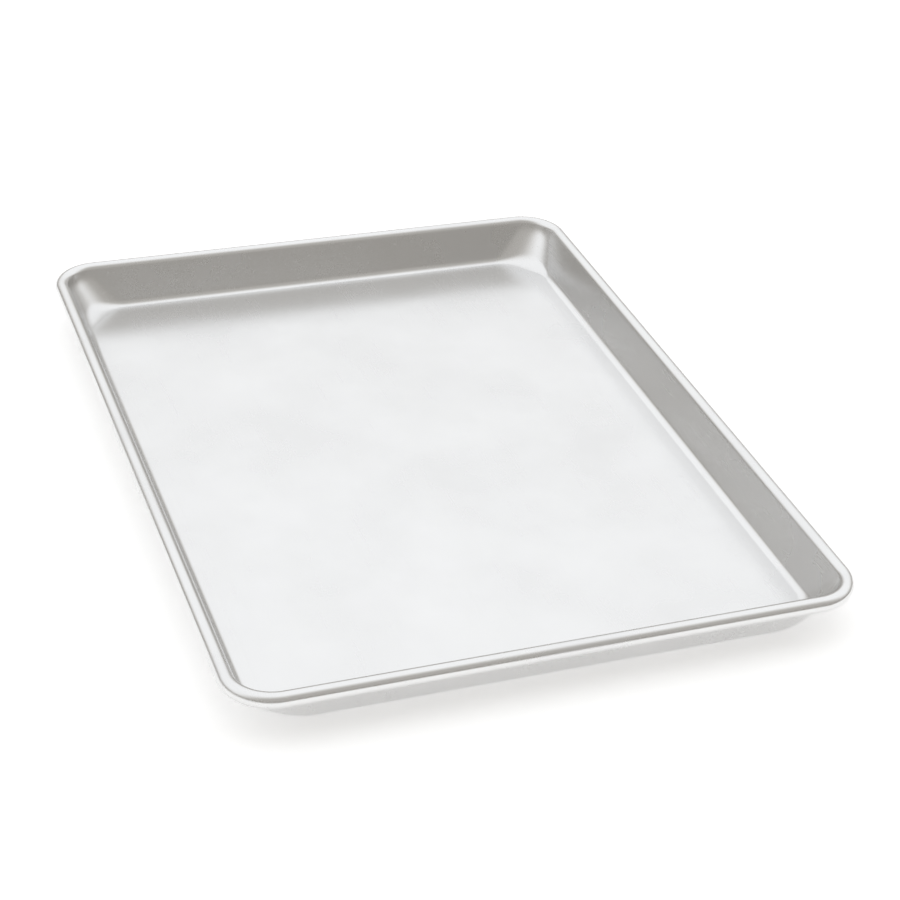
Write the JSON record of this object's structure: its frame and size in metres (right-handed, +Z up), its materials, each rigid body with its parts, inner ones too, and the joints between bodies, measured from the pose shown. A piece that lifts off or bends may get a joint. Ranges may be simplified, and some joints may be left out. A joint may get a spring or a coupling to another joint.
{
  "type": "jelly roll pan",
  "caption": "Shallow rectangular baking pan in natural aluminium, with flared walls, rounded corners and a rolled rim stiffened by a steel wire; holds a thin sheet of batter or dough.",
  "frame": {"origin": "centre of the flat underside, on the surface that the pan rests on", "axes": "+Y along the long sides, +X along the short sides, +Z up out of the open top"},
  "size_m": [0.328, 0.454, 0.0268],
  "materials": {
    "natural_aluminium": "satin mill finish, uncoated",
    "galvanised_steel": "galvanised, dull grey"
  },
  "bodies": {
    "root": {"pan_shell": "natural_aluminium", "rim_wire": "galvanised_steel"}
  },
  "joints": []
}
